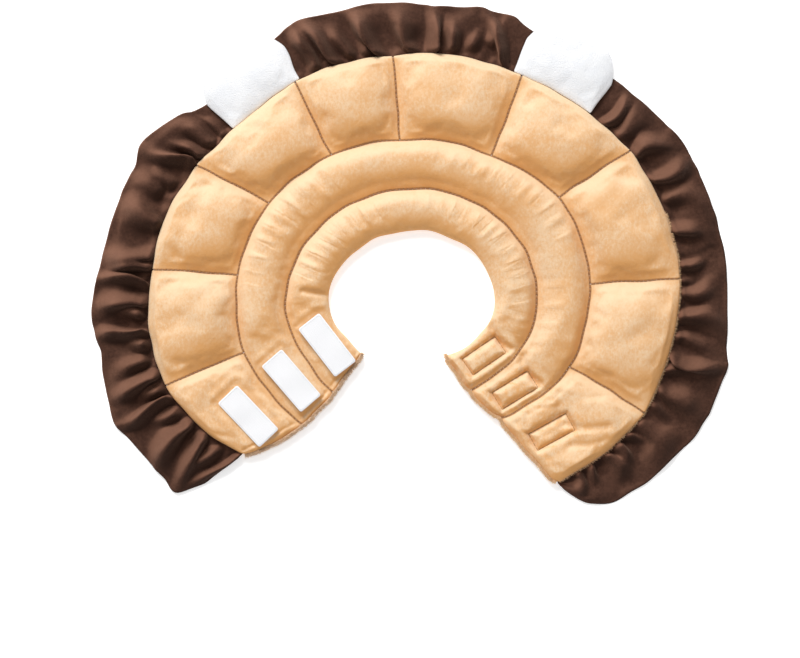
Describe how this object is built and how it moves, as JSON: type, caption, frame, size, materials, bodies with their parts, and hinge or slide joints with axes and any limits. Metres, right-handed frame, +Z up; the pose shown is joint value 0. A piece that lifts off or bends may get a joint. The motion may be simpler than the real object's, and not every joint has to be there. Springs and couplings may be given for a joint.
{
  "type": "elizabethan collar",
  "caption": "Soft quilted recovery collar for a cat or small dog, with a gathered ruffle and rounded ears, opening flat and closing round the neck with hook and loop patches.",
  "frame": {"origin": "on the surface that the collar lies on, under the middle of its box", "axes": "+Z up through the collar's thickness, top side up; +X along its width, towards the end with the loop patches; +Y away from the opening between its two ends"},
  "size_m": [0.4784, 0.3772, 0.0185],
  "materials": {
    "tan_plush": "short-pile plush, matt with a soft sheen",
    "brown_velvet": "dark velvet with a soft sheen",
    "white_plush": "short-pile plush, matt",
    "hook_tape": "woven tape with fine hooks",
    "loop_tape": "brushed loop tape"
  },
  "bodies": {
    "root": {"neck_band": "tan_plush", "middle_band": "tan_plush", "panel_01": "tan_plush", "panel_02": "tan_plush", "panel_03": "tan_plush", "panel_04": "tan_plush", "panel_05": "tan_plush", "panel_06": "tan_plush", "panel_07": "tan_plush", "panel_08": "tan_plush", "panel_09": "tan_plush", "panel_10": "tan_plush", "ruffle": "brown_velvet", "left_ear": "white_plush", "right_ear": "white_plush", "neck_hook_patch": "hook_tape", "middle_hook_patch": "hook_tape", "outer_hook_patch": "hook_tape", "neck_loop_patch": "loop_tape", "middle_loop_patch": "loop_tape", "outer_loop_patch": "loop_tape"}
  },
  "joints": []
}
